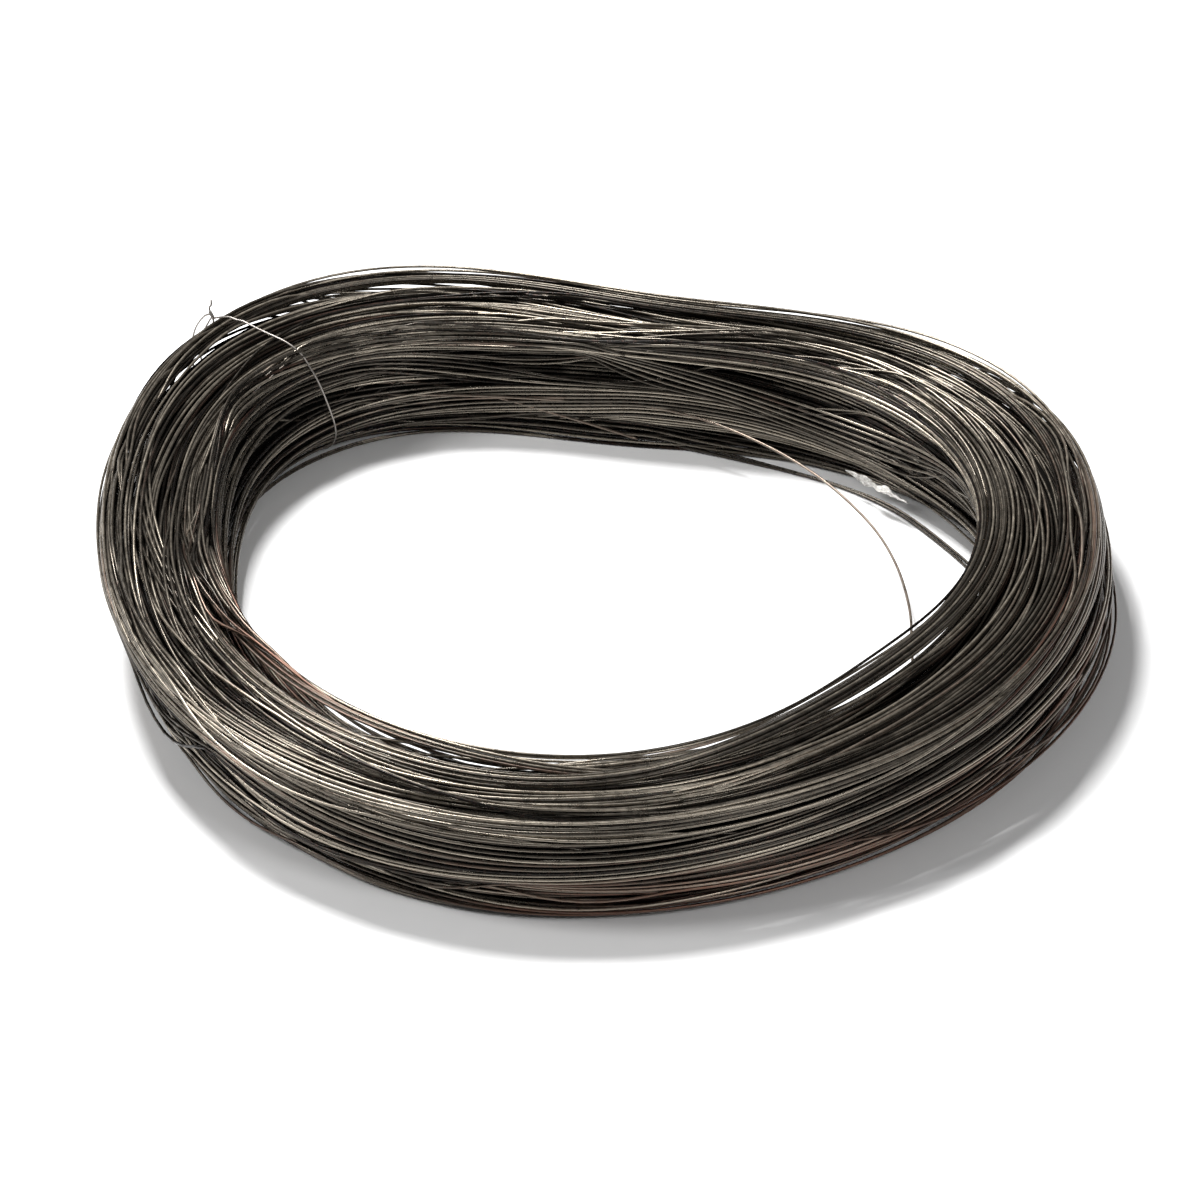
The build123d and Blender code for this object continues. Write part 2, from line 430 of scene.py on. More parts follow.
    def wind(self, most):
        """The visible turns: a layer on the floor, both walls, the top, then what fills its hollows."""
        while self.level < FLOOR_LAYER_LEVEL and len(self.turns) < most:
            self.add_family(("full",), 6)
            self.level = max(self.level, self.level_of("full"))
        self.wind_walls()
        self.wind_top(most)
        self.fill(most)
        return self.turns


class Folds:
    """Furrows between groups of turns, on both walls and over the top, as a soft shift of every turn."""

    def __init__(self, rng, phi, half):
        self.half = half
        self.walls = {}
        for side in (1.0, -1.0):
            furrows = []
            for count in range(WALL_FURROWS):
                height = (WALL_FURROW_START + WALL_FURROW_PITCH * count + rng.uniform(-1.5, 1.5)
                          + smooth_noise(rng, phi, 2.2, 1, 3))
                depth = rng.uniform(6.0, 9.0) * np.clip(0.6 + smooth_noise(rng, phi, 0.6, 1, 3), 0.0, 1.0)
                furrows.append((height, rng.uniform(1.8, 2.8), depth))
            self.walls[side] = furrows
        self.top = []
        for count in range(TOP_FURROWS):
            middle = TOP_FURROW_START + TOP_FURROW_PITCH * count + rng.uniform(-2, 2)
            course = (middle + rng.uniform(12, 18) * np.cos(phi - math.radians(145))
                      + smooth_noise(rng, phi, 2.0, 1, 3))
            depth = rng.uniform(1.0, 2.2) * np.clip(0.5 + smooth_noise(rng, phi, 0.7, 1, 3), 0.0, 1.0)
            self.top.append((course, rng.uniform(1.8, 2.8), depth))

    def shift(self, u, z):
        """A turn's course and height after the furrows have drawn it in."""
        aside = np.zeros_like(u)
        for side, furrows in self.walls.items():
            wall = np.clip(side * u / self.half, 0, 1) ** 1.5
            for height, width, depth in furrows:
                aside -= side * wall * depth * np.exp(-((z - height) / width) ** 2)
        down = np.zeros_like(z)
        for course, width, depth in self.top:
            down += depth * np.exp(-((u - course) / width) ** 2) * rise(z, 36.0, 14.0)
        for _ in range(FOLD_PASSES):
            aside, down = spread(aside), spread(down)
        return u + aside, np.maximum(z - down, WIRE_RADIUS + 0.02)


def buried(turns):
    """How deep each point of each turn lies under its neighbours, from the nearest open side, for the painted
    shade of the turns.
    """
    cell, cells, far, shift = 1.2, 100, 99.0, 50.0
    u = np.array([turn[0] for turn in turns])
    z = np.array([turn[1] for turn in turns])
    deep = np.full(u.shape, far)
    for bins, heights in ((z, u), (z, -u), (u + shift, z)):
        index = np.clip(np.rint(bins / cell).astype(int), 1, cells - 2)
        for station in range(u.shape[1]):
            surface = np.full(cells, -far)
            np.maximum.at(surface, index[:, station], heights[:, station])
            near = np.maximum(surface, np.maximum(np.roll(surface, 1), np.roll(surface, -1)))
            away = near[index[:, station]] - heights[:, station]
            deep[:, station] = np.minimum(deep[:, station], away)
    return deep


def from_axis(azimuth, radius, z):
    """Points in metres from azimuth in radians, radius and height in millimetres."""
    x = POLE[0] + radius * np.cos(azimuth)
    y = POLE[1] + radius * np.sin(azimuth)
    return np.stack([x, y, z], 1) * MM


def place(u, z, phi):
    """Points of a turn in metres, from its course across the bundle and its height."""
    return from_axis(phi, middle_radius(phi) + u, z * height_factor(phi))


def polar(points):
    """Points in metres from azimuth in degrees, radius and height in millimetres."""
    points = np.array(points, float)
    return from_axis(np.radians(points[:, 0]), points[:, 1], points[:, 2])


def ring_quads(rings, sides, closed, inward=False):
    """Quads between neighbouring rings of points, each ring closed on itself."""
    ring = np.arange(rings if closed else rings - 1)[:, None]
    side = np.arange(sides)[None, :]
    next_ring, next_side = (ring + 1) % rings, (side + 1) % sides
    first, second = ring * sides + side, ring * sides + next_side
    third, fourth = next_ring * sides + next_side, next_ring * sides + side
    corners = [first, fourth, third, second] if inward else [first, second, third, fourth]
    return np.stack(corners, 2).reshape(-1, 4)


def tube(points, radius, sides, closed):
    """Vertices, quads and end caps of a round tube along points in metres."""
    n = len(points)
    if closed:
        tangent = np.roll(points, -1, 0) - np.roll(points, 1, 0)
    else:
        tangent = np.gradient(points, axis=0)
    tangent /= np.linalg.norm(tangent, axis=1)[:, None]
    side = np.cross(tangent, (0.0, 0.0, 1.0))
    if np.linalg.norm(side, axis=1).min() < 0.3:
        side = np.cross(tangent, np.cross(tangent.mean(0) + (0.3, 0.5, 0.2), (0.0, 0.0, 1.0)))
    side /= np.linalg.norm(side, axis=1)[:, None]
    over = np.cross(side, tangent)
    angle = np.arange(sides) * TURN / sides
    ring = side[:, None, :] * np.cos(angle)[None, :, None] + over[:, None, :] * np.sin(angle)[None, :, None]
    verts = (points[:, None, :] + ring * radius).reshape(-1, 3)
    caps = [] if closed else [list(range(sides))[::-1], list(range((n - 1) * sides, n * sides))]
    return verts, ring_quads(n, sides, closed), caps


def curve_through(points, steps):
    """Smooth curve through a few points."""
    points = np.array(points, float)
    padded = np.vstack([2 * points[0] - points[1], points, 2 * points[-1] - points[-2]])
    out = []
    for p0, p1, p2, p3 in zip(padded, padded[1:], padded[2:], padded[3:]):
        t = np.arange(steps)[:, None] / steps
        out.append(0.5 * (2 * p1 + (p2 - p0) * t + (2 * p0 - 5 * p1 + 4 * p2 - p3) * t ** 2
                          + (3 * p1 - p0 - 3 * p2 + p3) * t ** 3))
    out.append(points[-1:])
    return np.concatenate(out)


def make_piece(name, parts, tones, rusts, material, replaced=None):
    """One object from many parts; tone and rust along each part, painted shade included, are kept as
    attributes.
    """
    verts, faces, tone, rust, base = [], [], [], [], 0
    for (v, quads, caps), t, r in zip(parts, tones, rusts):
        verts.append(v)
        faces += (quads + base).tolist()
        faces += [[c + base for c in cap] for cap in caps]
        tone.append(np.repeat(t, len(v) // np.size(t)))
        rust.append(np.repeat(r, len(v) // np.size(r)))
        base += len(v)
    mesh = bpy.data.meshes.new(name)
    mesh.from_pydata(np.concatenate(verts).tolist(), [], faces)
    for title, values in (("tone", tone), ("rust", rust)):
        layer = mesh.attributes.new(title, "FLOAT", "POINT")
        layer.data.foreach_set("value", np.concatenate(values).astype(np.float32))
    mesh.polygons.foreach_set("use_smooth", np.ones(len(mesh.polygons), bool))
    mesh.materials.append(material)
    piece = bpy.data.objects.new(name, mesh)
    bpy.context.scene.collection.objects.link(piece)
    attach(piece, "root")
    if replaced:
        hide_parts(replaced)


class Nodes:
    """Short helpers for building a material."""

    def __init__(self, name):
        self.material = bpy.data.materials.new(name)
        self.material.use_nodes = True
        self.tree = self.material.node_tree
        self.shader = self.tree.nodes["Principled BSDF"]

    def add(self, kind, **values):
        node = self.tree.nodes.new(kind)
        for key, value in values.items():
            setattr(node, key, value)
        return node

    def link(self, a, b):
        self.tree.links.new(a, b)

    def coords(self):
        return self.add("ShaderNodeTexCoord").outputs["Object"]

    def attribute(self, name):
        return self.add("ShaderNodeAttribute", attribute_name=name).outputs["Fac"]

    def noise(self, coords, scale, detail, roughness=0.55):
        node = self.add("ShaderNodeTexNoise")
        node.inputs["Scale"].default_value = scale
        node.inputs["Detail"].default_value = detail
        node.inputs["Roughness"].default_value = roughness
        self.link(coords, node.inputs["Vector"])
        return node.outputs["Fac"]

    def ramp(self, value, stops):
        node = self.add("ShaderNodeValToRGB")
        for element, (position, color) in zip(node.color_ramp.elements, stops):
            element.position = position
            element.color = (*color, 1.0)
        self.link(value, node.inputs["Fac"])
        return node.outputs["Color"]

    def mix(self, factor, a, b):
        node = self.add("ShaderNodeMix", data_type="RGBA")
        self.link(factor, node.inputs["Factor"])
        for source, socket in ((a, node.inputs[6]), (b, node.inputs[7])):
            if isinstance(source, tuple):
                socket.default_value = (*source, 1.0)
            else:
                self.link(source, socket)
        return node.outputs[2]

    def math(self, operation, a, b, clamp=False):
        node = self.add("ShaderNodeMath", operation=operation, use_clamp=clamp)
        self.link(a, node.inputs[0])
        if isinstance(b, float):
            node.inputs[1].default_value = b
        else:
            self.link(b, node.inputs[1])
        return node.outputs[0]

    def bump(self, height, strength, distance):
        node = self.add("ShaderNodeBump")
        node.inputs["Strength"].default_value = strength
        node.inputs["Distance"].default_value = distance
        self.link(height, node.inputs["Height"])
        self.link(node.outputs["Normal"], self.shader.inputs["Normal"])


def steel_material(name, dark, light, rust_color, metallic, roughness):
    """Annealed steel: black oxide with a dry grey sheen; tone and rust follow each wire."""
    m = Nodes(name)
    coords = m.coords()
    # The tone attribute holds each wire's own tone times its painted shade; the rust attribute fades with
    # that shade too
    tone = m.attribute("tone")
    rust = m.attribute("rust")
    mottle = m.noise(coords, 240.0, 4.0, 0.65)
    broad = m.noise(coords, 22.0, 2.0)
    streaks = m.math("ADD", m.math("MULTIPLY", mottle, 0.9), m.math("MULTIPLY", broad, 0.5))
    share = m.math("MULTIPLY", tone, m.math("ADD", streaks, 0.3), clamp=True)
    body = m.mix(share, dark, light)
    grain = m.noise(coords, 700.0, 3.0, 0.7)
    rusty = m.math("ADD", rust, m.math("MULTIPLY", m.math("SUBTRACT", grain, 0.5), 0.9))
    rusty = m.math("MULTIPLY", rusty, 0.9, clamp=True)
    m.link(m.mix(rusty, body, rust_color), m.shader.inputs["Base Color"])
    rough = m.ramp(mottle, ((0.3, (roughness - 0.08,) * 3), (0.7, (roughness + 0.1,) * 3)))
    m.link(m.mix(rusty, rough, (0.45, 0.45, 0.45)), m.shader.inputs["Roughness"])
    m.shader.inputs["Metallic"].default_value = metallic
    m.bump(grain, 0.3, 0.0001)
    return m.material


def mottled_material(name, color, spread_share, scale, roughness, specular=0.5):
    """Plain matt surface whose colour wanders a little."""
    m = Nodes(name)
    dark = tuple(c * (1 - spread_share) for c in color)
    light = tuple(min(c * (1 + spread_share), 1.0) for c in color)
    m.link(m.mix(m.noise(m.coords(), scale, 4.0), dark, light), m.shader.inputs["Base Color"])
    m.shader.inputs["Roughness"].default_value = roughness
    m.shader.inputs["Specular IOR Level"].default_value = specular
    return m.material


def film_material():
    """Crumpled whitish film that lets some light through, with painted shade in its creases."""
    m = Nodes("film_strip")
    creases = m.noise(m.coords(), 420.0, 5.0, 0.7)
    # Colour from the same crease noise as the bump: painted shade, darker in the hollows, lighter on the
    # ridges
    color = m.ramp(creases, ((0.35, (0.36, 0.34, 0.31)), (0.62, (0.86, 0.84, 0.8))))
    m.link(color, m.shader.inputs["Base Color"])
    m.shader.inputs["Roughness"].default_value = 0.38
    m.shader.inputs["Transmission Weight"].default_value = 0.25
    m.bump(creases, 0.8, 0.0006)
    return m.material


def tie_azimuth(u, z):
    """The tie wire crosses the bundle a little askew: azimuth at a place in the section."""
    raised = np.clip(z / 50.0, 0, 1)
    return np.radians((135.0 + 0.13 * u) * (1 - raised) + (137.2 + 0.06 * u) * raised)


def tie_hump(phi, u):
    """Room for the tie wire below the lowest turns."""
    away = (phi - tie_azimuth(u, 0.0)) * MEAN_RADIUS
    return np.where(np.abs(away) < 5.0, 2 * TIE_RADIUS + 0.1, 0.0)


def rust_along(rng, phi, u, z):
    """Rust on one turn: low in front, at the right and inside left, with blotches of its own."""
    front = near_azimuth(phi, 292, 48) * np.clip(1.2 - z / 30.0, 0, 1)
    inside = near_azimuth(phi, 210, 32) * np.clip(-u / 20.0, 0, 1)
    right = near_azimuth(phi, 350, 28) * np.clip(u / 14.0, 0.3, 1)
    amount = 0.95 * front + 0.62 * inside + 0.5 * right
    blotches = smooth_noise(rng, phi, 0.75, 1, 3) + smooth_noise(rng, phi, 1.6, 6, 24)
    return 0.9 * np.clip(1.25 * (amount - 0.26) + 0.3 * (blotches + rng.normal() * 0.45), 0, 1)


class Looks:
    """Tone and rust along single turns, with painted shade on the buried ones; the turns of a family share a
    base tone.
    """

    def __init__(self, rng, phi, families):
        self.rng = rng
        self.phi = phi
        self.family_tone = rng.uniform(0, 1, families)

    def of(self, u, z, family, deep):
        """Tone and rust of one turn, with painted shade: both darker where it lies deep among the others."""
        base = 0.03 + 0.34 * self.family_tone[family] ** 1.6
        tone = base + 0.8 * self.rng.uniform() ** 2.8 + smooth_noise(self.rng, self.phi, 0.14, 1, 5)
        rust = rust_along(self.rng, self.phi, u, z)
        # Painted shade: the tone darkens, and the rust fades, the deeper the turn lies among the others
        shade = np.exp(-(np.clip(deep - 0.4, 0, None) / 1.7))
        return np.clip(tone, 0, 1) * shade, rust * (0.4 + 0.6 * shade)


def add_turns(name, courses, looks, phi, material):
    """One piece of closed turns round the bundle."""
    tubes = [tube(place(u, z, phi), WIRE_RADIUS * MM, SIDES, True) for u, z in courses]
    tones, rusts = zip(*looks)
    make_piece(name, tubes, tones, rusts, material, "wire_coil")


# The wound turns are joined into pieces of up to this many turns
PIECE_TURNS = 100


def add_wound_turns(turns, looks, phi, material):
    """The turns of the bundle, as a few pieces of like size."""
    depths = buried(turns)
    pieces = math.ceil(len(turns) / PIECE_TURNS)
    size = math.ceil(len(turns) / pieces)
    for index in range(pieces):
        chosen = range(index * size, min((index + 1) * size, len(turns)))
        courses = [turns[n][:2] for n in chosen]
        tones = [looks.of(*turns[n], depths[n]) for n in chosen]
        add_turns(f"Wire_Turns_{index + 1}", courses, tones, phi, material)


# Loose turns at the edges of the bundle: wall, height, azimuth and width of the slack, its reach
SLACK_TURNS = (
    ("inner", 45.0, -46, 20, 1.2),
    ("inner", 46.5, -38, 18, 2.4),
    ("inner", 43.0, -50, 20, 0.6),
    ("outer", 50.5, 38, 18, 2.6),
    ("outer", 51.5, 118, 16, 2.2),
    ("outer", 49.0, 147, 12, 1.6),
    ("outer", 48.0, 172, 12, 0.0),
    ("inner", 0.7, 131, 14, 1.6),
    ("inner", 0.7, 130, 14, 0.2),
)
SLACK_INSET = 1.2

# Turns that show under one stretch of a rim and go in under the others elsewhere:
# height and distance from the wall
FAR_RIM_TURNS = (
    (44.6, 0.5), (45.8, 0.8), (47.0, 1.2), (48.2, 1.9), (45.2, 2.3), (46.4, 2.7), (47.6, 3.2), (48.9, 3.6),
    (46.0, 4.6), (47.4, 5.2), (48.7, 5.6), (49.4, 4.6), (47.0, 6.8), (48.4, 7.4), (49.7, 6.6), (49.6, 8.4),
)
BORE_RIM_TURNS = (
    (43.8, 0.4), (45.0, 0.9), (46.2, 1.4), (47.4, 1.9), (48.6, 2.6), (49.6, 3.6), (44.6, 2.4), (45.8, 3.0),
    (47.0, 3.7), (48.2, 4.5), (49.4, 5.4), (50.3, 6.6), (44.4, 4.6), (45.4, 5.6), (46.6, 6.4), (47.8, 7.2),
    (49.0, 8.2), (50.2, 9.2), (46.0, 8.0), (48.2, 9.8),
)
LEFT_RIM_TURNS = (
    (44.2, 0.5), (45.4, 1.0), (46.6, 1.6), (47.8, 2.3), (45.0, 2.6), (46.2, 3.3), (47.4, 4.1), (48.6, 4.9),
    (46.8, 5.8), (48.0, 6.8),
)

# How deep among the others the slack turns, the far rim's and the inner rims' are taken to lie, which sets
# their painted shade, and from how many families they take their base tones
SLACK_DEPTH = 0.0
FAR_RIM_DEPTH = 0.9
INNER_RIM_DEPTH = 0.7
SLACK_TONES = 12


def slack_course(bundle, rng, wall, height, azimuth, width, reach):
    """A turn at one wall that stands out on one stretch."""
    phi = bundle.phi
    low, high = bundle.limits(height)
    bump = near_azimuth(phi, azimuth, width)
    if wall == "outer":
        u = high - SLACK_INSET + (reach + SLACK_INSET) * bump
    else:
        u = low + SLACK_INSET - (reach + SLACK_INSET) * bump
    u = u + smooth_noise(rng, phi, 0.4)
    return u, np.maximum(height + smooth_noise(rng, phi, 0.7), WIRE_RADIUS + FLOOR_GAP)


def far_rim_course(bundle, rng, height, behind):
    """A turn under the far outer rim, hidden in front."""
    phi = bundle.phi
    _, high = bundle.limits(height)
    hidden = near_azimuth(phi, -60, 75)
    u = high - behind - 13.0 * hidden + smooth_noise(rng, phi, 0.25)
    return u, height - 2.5 * hidden + smooth_noise(rng, phi, 0.25)


def inner_rim_course(bundle, rng, azimuth, width, height, behind):
    """A turn under the inner rim round an azimuth, hidden elsewhere."""
    phi = bundle.phi
    low, _ = bundle.limits(height)
    hidden = 1.0 - near_azimuth(phi, azimuth, width, 4)
    u = low + behind + 9.0 * hidden + smooth_noise(rng, phi, 0.4)
    return u, height - 3.5 * hidden + smooth_noise(rng, phi, 0.3)


def add_slack_turns(bundle, rng, looks, material):
    """Loose turns at the edges, and the turns that show under the rims."""
    courses = [slack_course(bundle, rng, *turn) for turn in SLACK_TURNS]
    courses += [far_rim_course(bundle, rng, *turn) for turn in FAR_RIM_TURNS]
    for azimuth, width, rim_turns in ((-22, 58, BORE_RIM_TURNS), (-130, 42, LEFT_RIM_TURNS)):
        courses += [inner_rim_course(bundle, rng, azimuth, width, *turn) for turn in rim_turns]
    depths = [SLACK_DEPTH] * len(SLACK_TURNS) + [FAR_RIM_DEPTH] * len(FAR_RIM_TURNS)
    depths += [INNER_RIM_DEPTH] * (len(courses) - len(depths))
    tones = [looks.of(u, z, n % SLACK_TONES, 0.0 * u + depth)
             for n, ((u, z), depth) in enumerate(zip(courses, depths))]
    add_turns("Wire_Slack_Turns", courses, tones, bundle.phi, material)


# Inside of the bundle, near-black as painted shade between the turns: its sizes in millimetres, and how
# square its section is
CORE_STATIONS = 96
CORE_SIDES = 20
CORE_MIDDLE = 24.5
CORE_HALF_HEIGHT = 17.5
CORE_INSET = 10.0
CORE_SHOULDER = 5.0
CORE_SQUARENESS = 0.6


def add_core(material):
    """Closed near-black core, painted shade that shows only as depth between the turns, with a shoulder under
    the far outer rim.
    """
    phi = np.arange(CORE_STATIONS) * TURN / CORE_STATIONS
    rows = []
    for angle in np.arange(CORE_SIDES) * TURN / CORE_SIDES:
        along = math.copysign(abs(math.cos(angle)) ** CORE_SQUARENESS, math.cos(angle))
        up = math.copysign(abs(math.sin(angle)) ** CORE_SQUARENESS, math.sin(angle))
        share = min(max(2.4 * up * along, 0.0), 1.0) * (along > 0)
        shoulder = near_azimuth(phi, 120, 85, 4) * share
        z = CORE_MIDDLE + CORE_HALF_HEIGHT * up + CORE_SHOULDER * shoulder
        u = (half_width(phi) - CORE_INSET + CORE_SHOULDER * shoulder) * along + drift(z, phi)
        rows.append(place(u, z, phi))
    points = np.stack(rows, 1).reshape(-1, 3)
    quads = ring_quads(CORE_STATIONS, CORE_SIDES, True, inward=True)
    make_piece("Bundle_Core", [(points, quads, [])], [0.0], [0.0], material)


# Strands that leave the bundle: one across the bore, one down the far inner wall, two on the floor
LOOSE_STRANDS = (
    ((125, 168, 24), (110, 149, 22), (95, 136.8, 22), (83, 133.4, 22.5), (73, 131.6, 22.3),
     (64, 130, 21.5), (54, 128.6, 20), (45, 128.8, 18), (35, 130, 15), (21, 131, 12.5),
     (9, 132.4, 10), (-3, 134.3, 8), (-13, 137, 6.3), (-25, 145, 4), (-38, 155, 2.4)),
    ((124, 168, 29), (115, 160, 25), (105, 146, 20), (97, 139, 15), (90, 135, 11), (80, 133, 5)),
    ((75, 137, 2), (60, 138, 0.8), (44, 146.6, 0.7), (31, 154.6, 0.7), (18, 161, 0.7),
     (8, 168, 0.7), (-5, 181, 0.7)),
    ((70, 139, 2), (56, 141, 0.8), (42, 148.6, 0.7), (31, 156.6, 0.7), (18, 163, 0.7),
     (8, 170, 0.7), (-7, 184, 0.7)),
)
STRAND_TONES = (0.4, 0.4, 0.12, 0.16)
STRAND_RUSTS = (0.2, 0.25, 0.0, 0.0)
STRAND_STEPS = 10
STRAND_SIDES = 6


def add_loose_strands(material):
    """The strands that leave the bundle."""
    tubes = [tube(curve_through(polar(points), STRAND_STEPS), WIRE_RADIUS * MM, STRAND_SIDES, False)
             for points in LOOSE_STRANDS]
    make_piece("Loose_Strands", tubes, STRAND_TONES, STRAND_RUSTS, material, "loose_turn")


# Tie wire: the azimuth in degrees at which the bundle's section is taken; the point that the wire is
# drawn round and its knot, across the bundle and up in millimetres; then its clearance and its fineness
TIE_SECTION_AZIMUTH = 136
TIE_CENTER = (0.0, 28.0)
KNOT_U, KNOT_Z = 25.5, 59.6
TIE_DIRECTIONS = 72
TIE_CLEARANCE = 0.5
TIE_SMOOTHING = 14
TIE_LIFT = 2.4
TIE_STEPS = 6
TIE_SIDES = 6
TWIST_TURNS = 2.2


def section_point(u, z):
    """Place in metres of a point of the tie wire's skewed section; z here is the true height."""
    azimuth = tie_azimuth(u, z)
    return from_axis(azimuth, middle_radius(azimuth) + u, z)


def tie_wrap(turns):
    """Course of the tie wire drawn round the section of the bundle, from outside to the knot's foot."""
    station = int(round(TIE_SECTION_AZIMUTH / 360 * STATIONS))
    factor = height_factor(np.radians(float(TIE_SECTION_AZIMUTH)))
    center_u, center_z = TIE_CENTER
    section_u = np.array([turn[0][station] for turn in turns]) - center_u
    section_z = np.array([turn[1][station] for turn in turns]) * factor - center_z
    facing = np.arange(TIE_DIRECTIONS) * TURN / TIE_DIRECTIONS
    reach = np.outer(np.cos(facing), section_u) + np.outer(np.sin(facing), section_z)
    reach = reach.max(1) + WIRE_RADIUS + TIE_RADIUS + TIE_CLEARANCE
    around = np.radians(np.linspace(-42, -292, 51))
    cosine = np.cos(around[:, None] - facing[None, :])
    distance = np.where(cosine > 0.2, reach[None, :] / np.maximum(cosine, 0.2), 1e9).min(1)
    for _ in range(TIE_SMOOTHING):
        distance[1:-1] = 0.25 * distance[:-2] + 0.5 * distance[1:-1] + 0.25 * distance[2:]
    u = center_u + distance * np.cos(around)
    z = np.maximum(center_z + distance * np.sin(around), TIE_RADIUS + FLOOR_GAP)
    z += TIE_LIFT * np.clip((u + 6.0) / 16.0, 0, 1) ** 2 * (z > 35.0)
    return u, z


def twisted_ends():
    """Two wires twisted round each other, out of the knot."""
    foot = section_point(np.array([KNOT_U]), np.array([KNOT_Z]))[0]
    head = section_point(np.array([KNOT_U + 1.5]), np.array([KNOT_Z + 2.6]))[0]
    axis = (head - foot) / np.linalg.norm(head - foot)
    across = np.cross(axis, (0.6, 0.8, 0.0))
    across /= np.linalg.norm(across)
    beside = np.cross(axis, across)
    tubes = []
    for phase in (0.0, math.pi):
        t = np.linspace(-0.15, 1.1, 30)
        angle = phase + t * TURN * TWIST_TURNS
        spiral = foot + np.outer(t, head - foot)
        spiral += (np.outer(np.cos(angle), across) + np.outer(np.sin(angle), beside)) * TIE_RADIUS * MM
        tubes.append(tube(spiral, TIE_RADIUS * MM, TIE_SIDES, False))
    return tubes


def add_tie_wire(turns, material):
    """Tie wire drawn round the section, with two slack loops and a twisted end outside."""
    wrap_u, wrap_z = tie_wrap(turns)
    top_z = wrap_z[-1]
    loop = [(KNOT_U + 1.4, KNOT_Z + 1.6), (30.5, 59.0), (35.2, 52.0), (37.4, 43.0), (37.0, 30.0),
            (33.5, 17.0)]
    start = curve_through(loop + [(wrap_u[0], wrap_z[0])], TIE_STEPS)[:-1]
    rise_to_knot = [(wrap_u[-1], top_z), (18.0, (top_z + KNOT_Z) / 2 + 1.4), (KNOT_U, KNOT_Z)]
    end = curve_through(rise_to_knot, TIE_STEPS)[1:]
    main = np.vstack([start, np.stack([wrap_u, wrap_z], 1), end])
    hairpin = curve_through([(KNOT_U + 0.6, KNOT_Z + 0.6), (28.4, 56.4), (32.2, 49.0), (33.6, 41.0),
                             (32.4, 31.0), (30.6, 24.0)], TIE_STEPS)
    inner_leg = curve_through([(KNOT_U, KNOT_Z), (25.6, 57.0), (24.6, 54.0), (23.4, 50.5)], TIE_STEPS)
    tail = curve_through([(KNOT_U + 1.5, KNOT_Z + 2.4), (27.2, 64.4), (26.2, 66.0), (26.0, 68.4)],
                         TIE_STEPS)
    tubes = [tube(section_point(line[:, 0], line[:, 1]), TIE_RADIUS * MM, TIE_SIDES, False)
             for line in (main, hairpin, inner_leg, tail)]
    tubes += twisted_ends()
    count = len(tubes)
    make_piece("Tie_Wire", tubes, [0.55] * count, [0.1] * count, material, "tie_wire")


# Crumpled film at the foot of the inner wall: its azimuths in degrees, half width, height and
# half thickness in millimetres, and its points along and across
FILM_START = 39.8
FILM_SWEEP = 13.6
FILM_HALF_WIDTH = 2.3
FILM_HEIGHT = 11.0
FILM_HALF_THICKNESS = 0.09
LENGTHWISE, CROSSWISE = 60, 9


def film_points():
    """Rings of points round the film, one for each place along it, in millimetres."""
    share = np.linspace(0, 1, LENGTHWISE)
    azimuth = np.radians(FILM_START - FILM_SWEEP * share)
    narrow = 1.0 - 0.78 * np.clip((share - 0.74) / 0.26, 0, 1)
    width = FILM_HALF_WIDTH * np.minimum(1.0, 3.6 * share + 0.1) * narrow
    twist = np.radians(48.0 + 40.0 * np.sin(share * 7.0) + 22.0 * np.sin(share * 17.0 + 1.0))
    wall = lobed(INNER_PLAN, azimuth) + inner_offset(FILM_HEIGHT, azimuth)
    radius = wall - 1.0 + 0.5 * np.sin(share * 9.0)
    z = FILM_HEIGHT + 0.5 * np.sin(share * 11.0 + 2.0)
    middle = np.stack([POLE[0] + radius * np.cos(azimuth), POLE[1] + radius * np.sin(azimuth), z], 1)
    inward = np.stack([-np.cos(azimuth), -np.sin(azimuth), 0 * azimuth], 1)
    upward = np.array((0.0, 0.0, 1.0))
    across = inward * np.cos(twist)[:, None] + upward * np.sin(twist)[:, None]
    normal = upward * np.cos(twist)[:, None] - inward * np.sin(twist)[:, None]
    layers = []
    for side in (1.0, -1.0):
        columns = []
        for step in np.linspace(-1, 1, CROSSWISE)[::int(side)]:
            fold = 0.55 * np.sin(step * 5.0 + share * 13.0) + 0.3 * np.sin(step * 11.0 - share * 31.0)
            off = fold * (width / FILM_HALF_WIDTH) + side * FILM_HALF_THICKNESS
            columns.append(middle + across * (width * step)[:, None] + normal * off[:, None])
        layers.append(np.stack(columns, 1))
    return np.concatenate(layers, 1)


def add_film_strip():
    """The crumpled strip, closed at its sides and ends."""
    sides = 2 * CROSSWISE
    quads = ring_quads(LENGTHWISE, sides, False)
    caps = [[j, j + 1, sides - 2 - j, sides - 1 - j] for j in range(CROSSWISE - 1)]
    last = (LENGTHWISE - 1) * sides
    caps = [cap[::-1] for cap in caps] + [[c + last for c in cap] for cap in caps]
    strip = (film_points().reshape(-1, 3) * MM, quads, caps)
    make_piece("Film_Strip", [strip], [0.5], [0.0], film_material(), "tape_strip")


# Camera at the photograph's angle: elevation in degrees, distance in metres, the photograph's width
# in pixels and its scale, and the place looked at from the winding's axis in millimetres
ELEVATION = math.radians(34.0)
DISTANCE = 1.5
IMAGE_WIDTH = 1200
MM_PER_PIXEL = 0.412
LOOKED_AT = (6.4, -8.4, 12.6)
SENSOR_WIDTH = 36.0


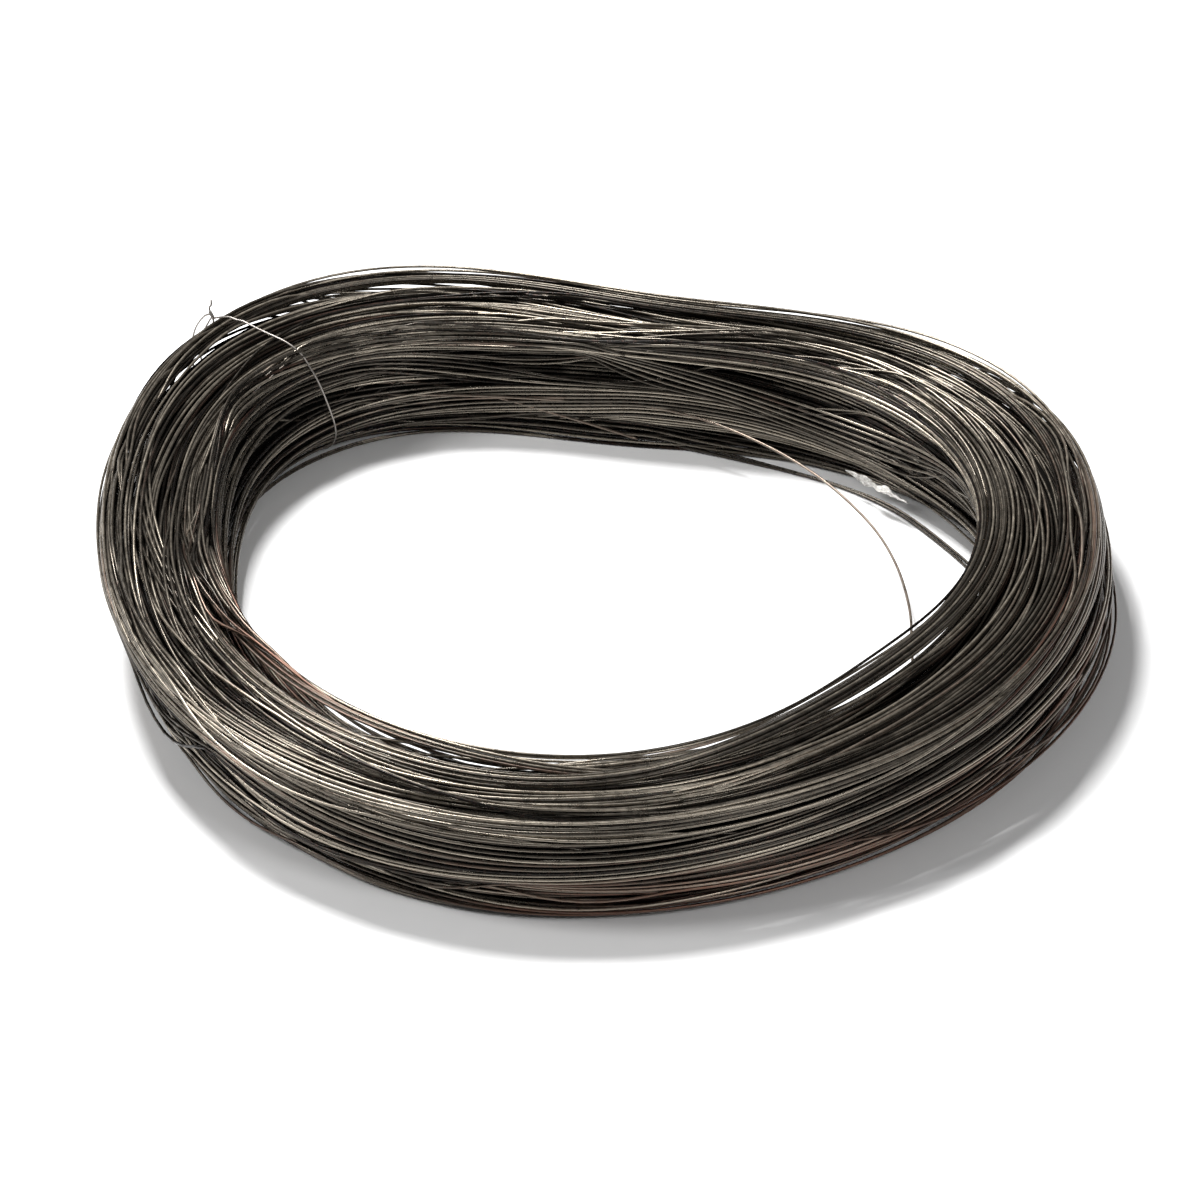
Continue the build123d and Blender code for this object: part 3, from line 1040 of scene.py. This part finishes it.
def add_camera():
    """Camera at the photograph's angle and scale."""
    target = np.array((LOOKED_AT[0] + POLE[0], LOOKED_AT[1] + POLE[1], LOOKED_AT[2])) * MM
    back = np.array((0.0, -math.cos(ELEVATION), math.sin(ELEVATION)))
    data = bpy.data.cameras.new("Camera")
    data.sensor_width = SENSOR_WIDTH
    data.lens = SENSOR_WIDTH * DISTANCE / (IMAGE_WIDTH * MM_PER_PIXEL * MM)
    data.clip_start = 0.05
    camera = bpy.data.objects.new("Camera", data)
    bpy.context.scene.collection.objects.link(camera)
    camera.location = target + back * DISTANCE
    camera.rotation_euler = (math.pi / 2 - ELEVATION, 0.0, 0.0)
    bpy.context.scene.camera = camera


# Floor and light in metres and watts: name, place, size and power of each lamp
FLOOR_REACH = 6
FLOOR_DROP = 0.0002
WORLD_STRENGTH = 0.13
LAMP_AIM = (0, 0, 0.03)
LAMPS = (
    ("Key", (-0.5, 0.7, 1.7), 0.5, 61.0),
    ("Side", (-1.4, -0.25, 1.2), 0.6, 14.0),
    ("Fill", (0.9, -1.1, 1.3), 0.6, 9.0),
)


def add_floor():
    """Pale floor just under the coil."""
    reach = FLOOR_REACH
    mesh = bpy.data.meshes.new("Floor")
    corners = [(-reach, -reach, 0), (reach, -reach, 0), (reach, reach, 0), (-reach, reach, 0)]
    mesh.from_pydata(corners, [], [(0, 1, 2, 3)])
    floor = bpy.data.objects.new("Floor", mesh)
    bpy.context.scene.collection.objects.link(floor)
    floor.location = (0, 0, -FLOOR_DROP)
    mesh.materials.append(mottled_material("floor_pale", (0.93, 0.93, 0.93), 0.02, 60.0, 0.9))


def add_world():
    """Even white light from all round."""
    world = bpy.data.worlds.new("World")
    world.use_nodes = True
    background = world.node_tree.nodes["Background"]
    background.inputs["Color"].default_value = (1.0, 1.0, 1.0, 1.0)
    background.inputs["Strength"].default_value = WORLD_STRENGTH
    bpy.context.scene.world = world


def add_lamp(name, location, size, power):
    """Round soft lamp that faces the coil."""
    data = bpy.data.lights.new(name, "AREA")
    data.shape = "DISK"
    data.size = size
    data.energy = power
    light = bpy.data.objects.new(name, data)
    bpy.context.scene.collection.objects.link(light)
    light.location = location
    light.rotation_euler = (Vector(LAMP_AIM) - Vector(location)).to_track_quat("-Z", "Y").to_euler()


rng = np.random.default_rng(SEED)
wire_steel = steel_material("annealed_wire", dark=(0.010, 0.009, 0.008), light=(0.39, 0.345, 0.28),
                            rust_color=(0.17, 0.076, 0.05), metallic=0.8, roughness=0.285)
tie_steel = steel_material("tie_steel", dark=(0.11, 0.1, 0.095), light=(0.42, 0.4, 0.37),
                           rust_color=(0.2, 0.1, 0.06), metallic=0.6, roughness=0.34)
# Near-black and nearly without gloss: painted shade for the inside of the bundle
core_painted_shade = mottled_material("bundle_inside_shade", (0.004, 0.0036, 0.003), 0.5, 300.0, 0.9, specular=0.05)

bundle = Bundle(rng, tie_hump)
folds = Folds(rng, bundle.phi, bundle.half)
turns = [(*folds.shift(u, z), family) for u, z, family in bundle.wind(MOST_TURNS)]
looks = Looks(rng, bundle.phi, turns[-1][2] + 1)

add_wound_turns(turns, looks, bundle.phi, wire_steel)
add_slack_turns(bundle, rng, looks, wire_steel)
add_core(core_painted_shade)
add_loose_strands(wire_steel)
add_tie_wire(turns, tie_steel)
add_film_strip()

add_camera()
add_floor()
add_world()
for lamp in LAMPS:
    add_lamp(*lamp)
bpy.context.scene.view_settings.view_transform = "Standard"
